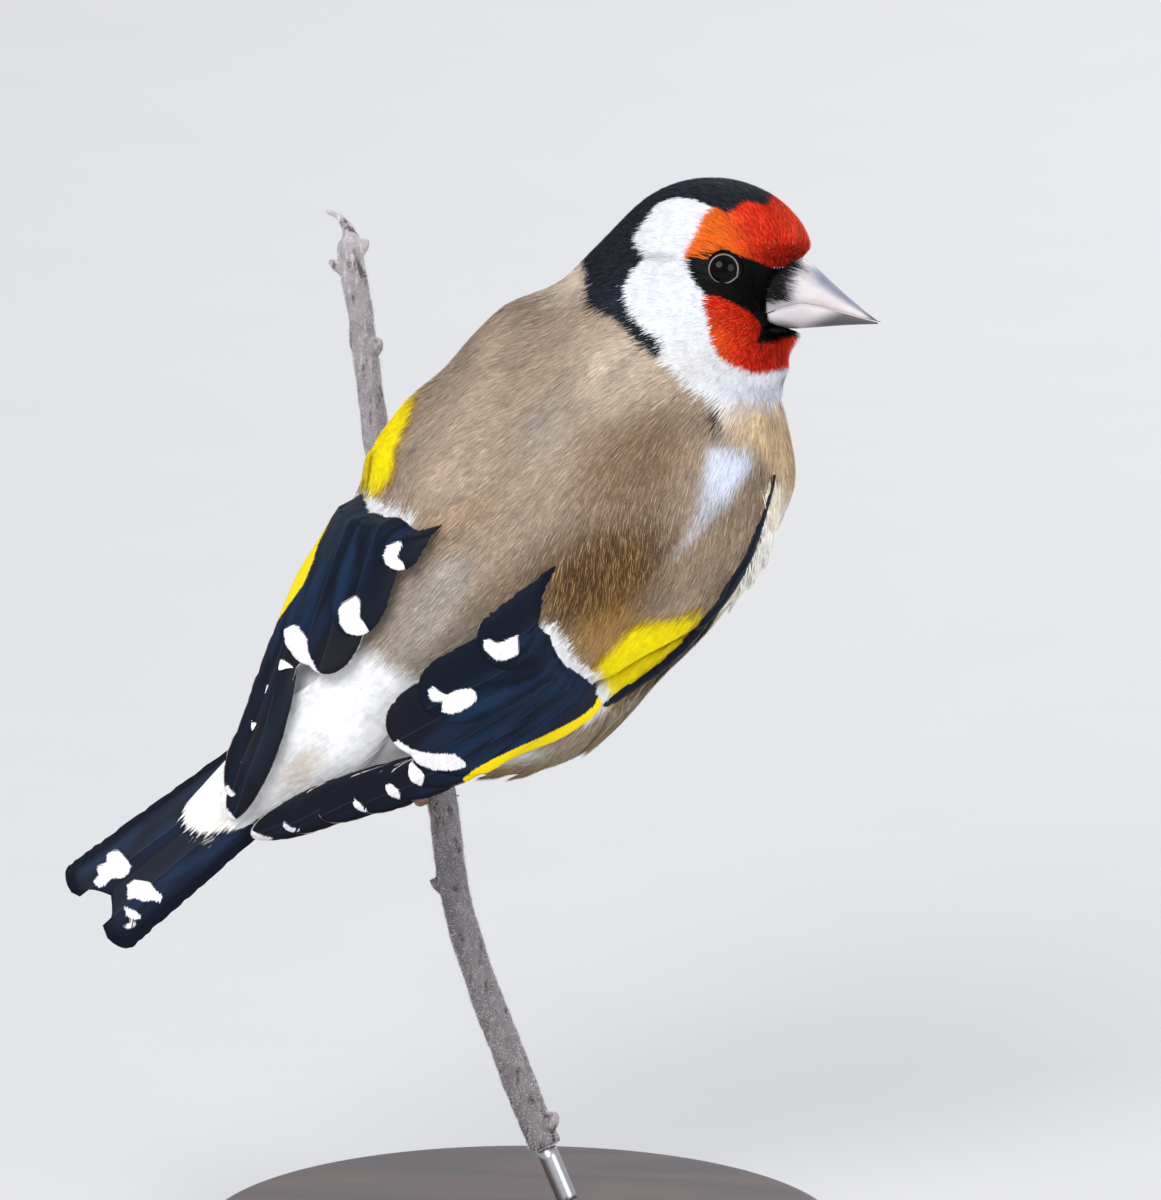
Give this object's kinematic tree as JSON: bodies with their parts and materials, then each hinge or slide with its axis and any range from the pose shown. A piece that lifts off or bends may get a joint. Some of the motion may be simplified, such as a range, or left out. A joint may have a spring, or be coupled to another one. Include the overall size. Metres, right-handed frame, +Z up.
{
  "type": "european goldfinch model",
  "caption": "Life-size still model of a european goldfinch, clinging to a cut plant stem on a plain round display stand, head turned in profile.",
  "frame": {"origin": "centre of the base's underside, on the surface that the stand rests on", "axes": "+Z up, +X the way the bill points, +Y away from the viewer of the bird's back"},
  "size_m": [0.1015, 0.083, 0.1404],
  "materials": {
    "body_feathers": "soft brown and buff feathers, white on the rump and belly",
    "head_feathers": "red face, black lores and crown, white cheeks",
    "flight_feathers": "blue-black vanes with a yellow bar and white tips",
    "bill": "satin ivory-pink horn, dark at the tip",
    "eye": "wet dark gloss",
    "leg": "fine flesh-brown scutes",
    "claw": "dark satin horn",
    "bark": "grey, downy dried stem",
    "stand_wood": "dark stained, satin varnish",
    "stand_metal": "fine brushed"
  },
  "bodies": {
    "root": {"torso": "body_feathers", "neck": "body_feathers", "head": "head_feathers", "bill_upper": "bill", "bill_lower": "bill", "tail": "flight_feathers", "eye_left": "eye", "wing_left": "flight_feathers", "leg_left": "leg", "foot_left": "leg", "claw_left_1": "claw", "claw_left_2": "claw", "claw_left_3": "claw", "claw_left_4": "claw", "eye_right": "eye", "wing_right": "flight_feathers", "leg_right": "leg", "foot_right": "leg", "claw_right_1": "claw", "claw_right_2": "claw", "claw_right_3": "claw", "claw_right_4": "claw", "perch_stem": "bark", "stand_base": "stand_wood", "stand_rod": "stand_metal"}
  },
  "joints": []
}
